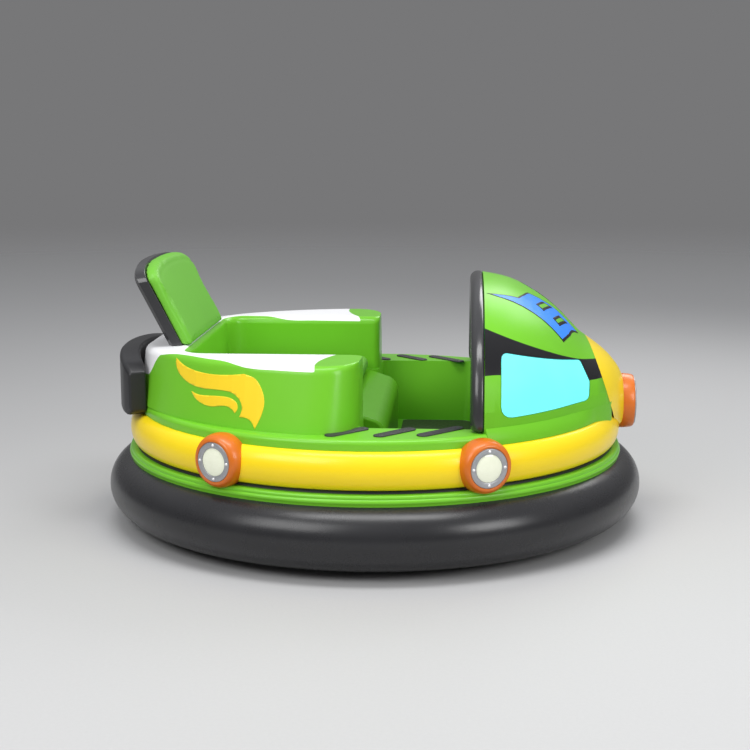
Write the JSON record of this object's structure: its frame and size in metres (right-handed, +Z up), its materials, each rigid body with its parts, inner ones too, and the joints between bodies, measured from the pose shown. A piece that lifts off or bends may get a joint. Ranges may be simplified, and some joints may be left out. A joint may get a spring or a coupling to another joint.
{
  "type": "bumper car",
  "caption": "Round single-seat bumper car with an inflated rubber ring, half-round belt, open footwell, reclined seat back, bullet hood with side windows and round lamps.",
  "frame": {"origin": "on the ground plane under the axis of the rubber ring, the centre of the bounding box in plan", "axes": "+X forward through the nose lamp, +Y to the driver's left, +Z up"},
  "size_m": [1.9, 1.9, 0.9207],
  "materials": {
    "ring_rubber": "satin",
    "fibreglass_green": "gloss",
    "fibreglass_yellow": "gloss",
    "vinyl_green": "satin",
    "black_plastic": "gloss",
    "black_gasket": "satin",
    "mat_dark_green": "matt",
    "lamp_orange": "gloss",
    "bezel_grey": "satin",
    "lens_cream": "gloss",
    "window_cyan": "gloss",
    "frame_steel": "satin",
    "zinc_plate": "satin",
    "battery_case": "matt",
    "tyre_rubber": "matt"
  },
  "bodies": {
    "car": {"bumper_tube": "ring_rubber", "lower_pan": "fibreglass_green", "seam_gasket": "black_gasket", "belt": "fibreglass_yellow", "upper_body": "fibreglass_green", "floor_mat": "mat_dark_green", "seat_base": "fibreglass_green", "seat_cushion": "vinyl_green", "seat_back_cushion": "vinyl_green", "seat_back_shell": "black_plastic", "rear_body": "fibreglass_green", "tail_band": "black_gasket", "hood_shell": "fibreglass_green", "window_left": "window_cyan", "window_right": "window_cyan", "hood_arch": "black_plastic", "nose_cone": "fibreglass_yellow", "nose_lamp_housing": "lamp_orange", "nose_lamp_bezel": "bezel_grey", "nose_lamp_lens": "lens_cream", "dashboard": "black_plastic", "steering_column": "frame_steel", "chassis_frame": "frame_steel", "rear_axle": "zinc_plate", "battery_pack": "battery_case", "drive_motor": "frame_steel", "front_left_lamp_housing": "lamp_orange", "front_left_lamp_bezel": "bezel_grey", "front_left_lamp_lens": "lens_cream", "front_right_lamp_housing": "lamp_orange", "front_right_lamp_bezel": "bezel_grey", "front_right_lamp_lens": "lens_cream", "rear_left_lamp_housing": "lamp_orange", "rear_left_lamp_bezel": "bezel_grey", "rear_left_lamp_lens": "lens_cream", "rear_right_lamp_housing": "lamp_orange", "rear_right_lamp_bezel": "bezel_grey", "rear_right_lamp_lens": "lens_cream"},
    "steering": {"steering_wheel": "black_plastic"},
    "fork": {"front_fork": "zinc_plate"},
    "front_wheel": {"front_wheel": "tyre_rubber"},
    "left_rear_wheel": {"rear_wheel_left": "tyre_rubber"},
    "right_rear_wheel": {"rear_wheel_right": "tyre_rubber"}
  },
  "joints": [
    {"name": "steering_turn", "type": "hinge", "parent": "car", "child": "steering", "pos_m": [0.485, 0, 0.625], "axis": [-0.8191, 0, 0.5736], "range_deg": [-120, 120]},
    {"name": "fork_swivel", "type": "hinge", "parent": "car", "child": "fork", "pos_m": [0.565, 0, 0.09], "axis": [0, 0, 1], "range_deg": [-40, 40]},
    {"name": "front_wheel_spin", "type": "hinge", "parent": "fork", "child": "front_wheel", "pos_m": [0.565, 0, 0.09], "axis": [0, 1, 0], "continuous": true},
    {"name": "left_rear_wheel_spin", "type": "hinge", "parent": "car", "child": "left_rear_wheel", "pos_m": [-0.32, 0.52, 0.09], "axis": [0, 1, 0], "continuous": true},
    {"name": "right_rear_wheel_spin", "type": "hinge", "parent": "car", "child": "right_rear_wheel", "pos_m": [-0.32, -0.52, 0.09], "axis": [0, 1, 0], "continuous": true}
  ],
  "couplings": [
    {"joint": "fork_swivel", "follows": "steering_turn", "ratio": 0.33333}
  ]
}
